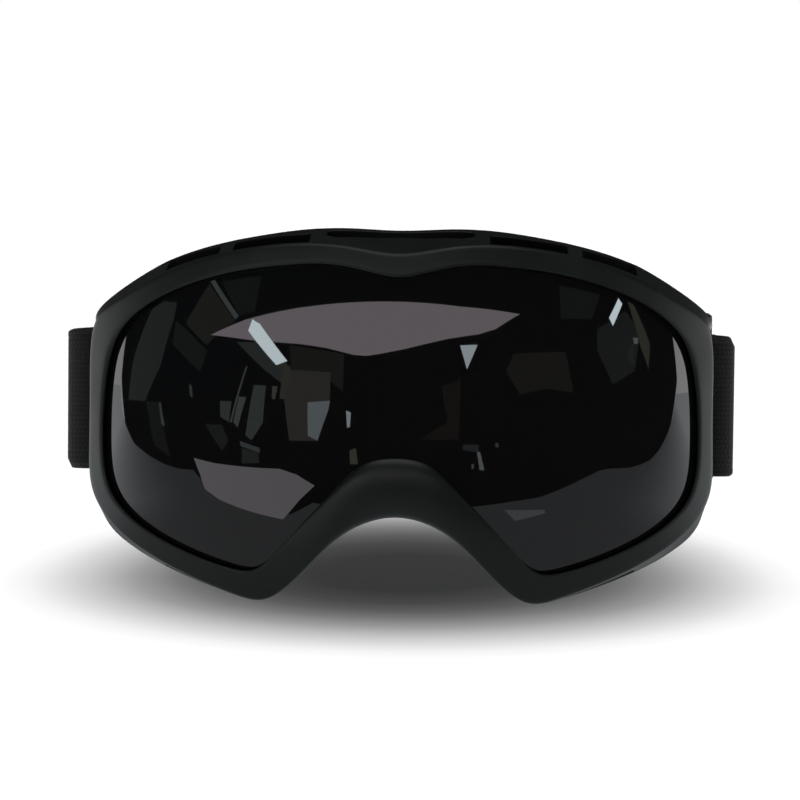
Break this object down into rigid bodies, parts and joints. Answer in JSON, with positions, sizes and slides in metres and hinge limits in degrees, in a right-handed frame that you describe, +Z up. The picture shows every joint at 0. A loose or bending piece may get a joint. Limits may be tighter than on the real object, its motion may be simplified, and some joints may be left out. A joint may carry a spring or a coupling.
{
  "type": "motorcycle goggles",
  "caption": "Off-road goggles with a one-piece frame, curved smoke lens, layered face foam, foam-backed air vents and an elastic head strap with sliding adjusters.",
  "frame": {"origin": "apex of the face seal: the foremost point of the surface that rests on the face, on the middle plane at the height of the strap", "axes": "+X to the wearer's left, +Y from the lens towards the face and the back of the head, +Z up"},
  "size_m": [0.1918, 0.2239, 0.1069],
  "materials": {
    "frame": "fine matte moulded texture",
    "lens": "polished smoke tint, mirror-smooth",
    "foam": "open-cell foam",
    "soft_foam": "fine open-cell foam",
    "fleece": "short brushed fleece",
    "vent_foam": "coarse open-cell filter foam",
    "strap": "woven elastic",
    "slider": "smooth matte moulded"
  },
  "bodies": {
    "frame": {"frame": "frame", "lens": "lens", "face_foam_base": "foam", "face_foam_middle": "soft_foam", "face_fleece": "fleece", "vent_foam_brow_outer_left": "vent_foam", "vent_foam_brow_outer_right": "vent_foam", "vent_foam_brow_inner_left": "vent_foam", "vent_foam_brow_inner_right": "vent_foam", "vent_foam_cheek_left": "vent_foam", "vent_foam_cheek_right": "vent_foam", "vent_foam_scoop": "vent_foam", "strap_side_left": "strap", "strap_side_right": "strap", "strap_tail_left": "strap", "strap_tail_right": "strap"},
    "strap_back": {"strap_back_band": "strap"},
    "slider_left": {"slider_left": "slider", "strap_end_left": "strap"},
    "slider_right": {"slider_right": "slider", "strap_end_right": "strap"}
  },
  "joints": [
    {"name": "strap_stretch", "type": "slide", "parent": "frame", "child": "strap_back", "axis": [0, 1, 0], "range_m": [0, 0.05], "stiffness_N_per_m": 250, "deforming": ["strap_side_left", "strap_side_right"]},
    {"name": "slider_left_slide", "type": "slide", "parent": "frame", "child": "slider_left", "axis": [0, -1, 0], "range_m": [0, 0.022], "deforming": ["strap_tail_left"]},
    {"name": "slider_right_slide", "type": "slide", "parent": "frame", "child": "slider_right", "axis": [0, -1, 0], "range_m": [0, 0.022], "deforming": ["strap_tail_right"]}
  ]
}
